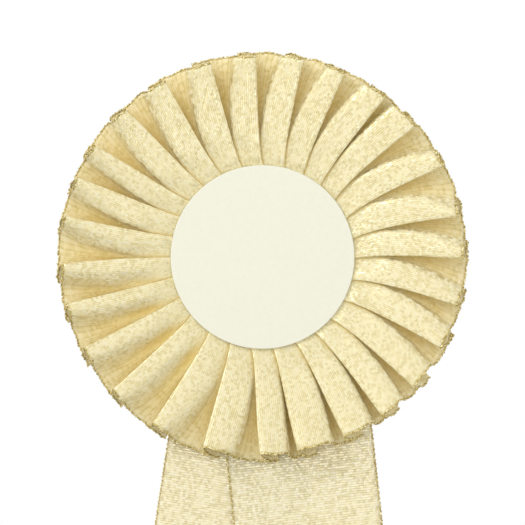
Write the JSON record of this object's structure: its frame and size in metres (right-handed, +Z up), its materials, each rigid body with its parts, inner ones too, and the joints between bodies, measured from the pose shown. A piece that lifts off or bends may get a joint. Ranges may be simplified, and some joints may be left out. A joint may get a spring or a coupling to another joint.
{
  "type": "award ribbon rosette",
  "caption": "Round award rosette of knife-pleated metallic ribbon about a plain card centre, with two fishtail ribbon tails and a brooch pin with a turning catch.",
  "frame": {"origin": "on the brooch pin's axis, at the middle of the brooch bar, 8 mm above the rosette's centre", "axes": "+Z up, along the tails' fall; -Y out of the rosette's front face; +X to the right as seen from the front, along the brooch pin to its point"},
  "size_m": [0.1108, 0.0152, 0.2797],
  "materials": {
    "centre_card": "smooth cream card with a faint linen grain",
    "pleat_ribbon": "champagne gold metallic lame ribbon",
    "tail_ribbon": "champagne gold metallic lame ribbon",
    "grey_card": "plain uncoated board",
    "backing_card": "smooth off-white board",
    "foam": "white adhesive foam",
    "adhesive": "double-sided adhesive sheet",
    "staple_wire": "zinc-plated wire",
    "plated_steel": "bright nickel plate",
    "pin_steel": "polished steel wire"
  },
  "bodies": {
    "root": {"centre_disc": "centre_card", "centre_pad": "foam", "pleated_ribbon": "pleat_ribbon", "base_card": "grey_card", "pleat_staples": "staple_wire", "front_tail_top": "tail_ribbon", "rear_tail_top": "tail_ribbon", "tail_staples": "staple_wire", "backing_adhesive": "adhesive", "backing_card": "backing_card", "pin_pad": "foam", "pin_base": "plated_steel", "pin_rivet": "plated_steel"},
    "front_tail": {"front_tail": "tail_ribbon"},
    "rear_tail": {"rear_tail": "tail_ribbon"},
    "pin": {"pin_wire": "pin_steel"},
    "catch": {"pin_catch": "plated_steel"}
  },
  "joints": [
    {"name": "front_tail_swing", "type": "hinge", "parent": "root", "child": "front_tail", "pos_m": [0, -0.00525, -0.0655], "axis": [-1, 0, 0], "range_deg": [0, 90]},
    {"name": "rear_tail_swing", "type": "hinge", "parent": "root", "child": "rear_tail", "pos_m": [0, -0.00465, -0.0655], "axis": [1, 0, 0], "range_deg": [0, 90]},
    {"name": "pin_swing", "type": "hinge", "parent": "root", "child": "pin", "pos_m": [-0.0132, 0, 0], "axis": [0, 0, 1], "range_deg": [0, 85]},
    {"name": "catch_turn", "type": "hinge", "parent": "root", "child": "catch", "pos_m": [0.013, 0, 0], "axis": [1, 0, 0], "range_deg": [-95, 0]}
  ]
}
